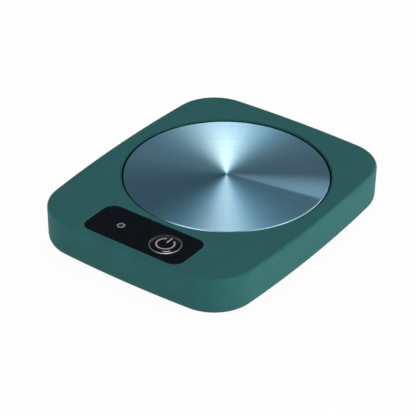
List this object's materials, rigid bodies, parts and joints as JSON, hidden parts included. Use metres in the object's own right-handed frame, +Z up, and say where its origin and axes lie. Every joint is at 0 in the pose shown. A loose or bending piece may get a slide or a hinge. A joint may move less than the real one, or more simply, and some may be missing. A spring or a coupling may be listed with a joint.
{
  "type": "electric mug warmer",
  "caption": "Flat electric mug warmer: a round spun heating plate in a bowed casing, with a glossy panel, a round push button and an indicator light at the front.",
  "frame": {"origin": "on the table, below the middle of the casing", "axes": "+Z up, +Y to the back (power inlet), -Y to the front (control panel), +X to the right (push button)"},
  "size_m": [0.1, 0.122, 0.0173],
  "materials": {
    "casing": "fine matte",
    "foot_rubber": "matte",
    "seal_rubber": "matte",
    "plate": "spun, circular brushing",
    "screw_steel": "zinc plated",
    "ring_plastic": "moulded",
    "film": "satin",
    "foil": "etched",
    "tinned": "tinned",
    "insulation": "felted fibre",
    "backing_steel": "pressed sheet",
    "epoxy": "glossy bead",
    "fuse_ceramic": "plain",
    "panel_gloss": "high gloss",
    "tape": "plain",
    "print_grey": "printed",
    "light_pipe": "clear",
    "button_gloss": "high gloss",
    "ring_metal": "satin metallised",
    "board": "solder resist",
    "switch_black": "moulded",
    "chip_black": "moulded",
    "can": "sleeved",
    "led_white": "clear",
    "header_nylon": "moulded",
    "contact_gold": "gold plated",
    "heater_lead": "sleeved",
    "sensor_lead": "sleeved",
    "inlet_lead": "sleeved"
  },
  "bodies": {
    "body": {"upper_casing": "casing", "bottom_cover": "casing", "casing_screws": "screw_steel", "rubber_feet": "foot_rubber", "heating_plate": "plate", "plate_seal": "seal_rubber", "retaining_ring": "ring_plastic", "ring_screws": "screw_steel", "plate_studs": "screw_steel", "heater_film": "film", "heater_foil": "foil", "film_terminals": "tinned", "insulation_pad": "insulation", "heater_backing": "backing_steel", "backing_washers": "screw_steel", "backing_nuts": "screw_steel", "temperature_sensor": "epoxy", "thermal_fuse": "fuse_ceramic", "control_panel": "panel_gloss", "panel_tape": "tape", "indicator_mark": "print_grey", "light_pipe": "light_pipe", "control_board": "board", "board_screws": "screw_steel", "tact_switch": "switch_black", "control_chip": "chip_black", "power_transistor": "chip_black", "capacitor": "can", "chip_resistors": "chip_black", "indicator_led": "led_white", "wire_headers": "header_nylon", "inlet_board": "board", "inlet_screws": "screw_steel", "inlet_shell": "tinned", "inlet_tongue": "switch_black", "inlet_contacts": "contact_gold", "heater_leads": "heater_lead", "sensor_leads": "sensor_lead", "inlet_leads": "inlet_lead"},
    "button": {"power_button": "button_gloss", "button_ring": "ring_metal", "power_mark": "print_grey"},
    "plunger": {"switch_plunger": "switch_black"}
  },
  "joints": [
    {"name": "power_button_press", "type": "slide", "parent": "body", "child": "button", "axis": [0, 0, -1], "range_m": [0, 0.0005], "stiffness_N_per_m": 2000, "springref_m": -0.0002},
    {"name": "switch_plunger_press", "type": "slide", "parent": "body", "child": "plunger", "axis": [0, 0, -1], "range_m": [0, 0.0005]}
  ],
  "couplings": [
    {"joint": "switch_plunger_press", "follows": "power_button_press", "ratio": 1}
  ]
}
